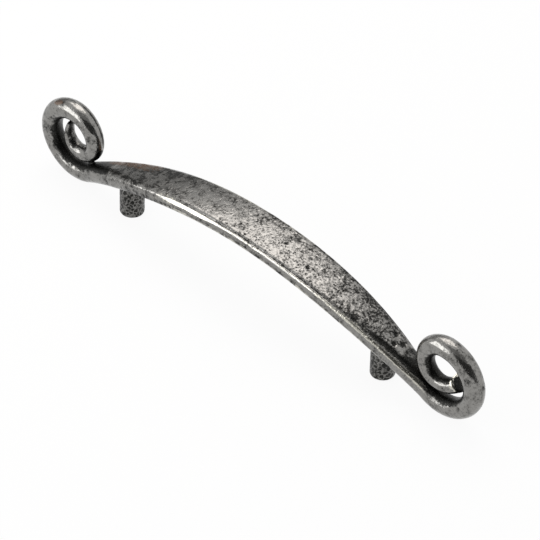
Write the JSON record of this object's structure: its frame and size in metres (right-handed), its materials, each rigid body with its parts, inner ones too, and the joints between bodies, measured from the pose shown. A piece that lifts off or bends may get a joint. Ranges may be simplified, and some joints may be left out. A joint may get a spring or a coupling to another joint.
{
  "type": "arch pull",
  "caption": "Bowed drawer pull cast in one piece: a leaf-shaped hammered strap whose round ends curl into scrolls, on round posts tapped from below.",
  "frame": {"origin": "midway between the two posts, on the mounting plane at their feet", "axes": "+X along the pull, towards the scroll that is cut off square; +Z away from the drawer front"},
  "size_m": [0.2218, 0.0188, 0.0349],
  "materials": {
    "antique_metal": "antique, dark patina in the pits and recesses, worn bright on the edges"
  },
  "bodies": {
    "root": {"arch_pull": "antique_metal"}
  },
  "joints": []
}
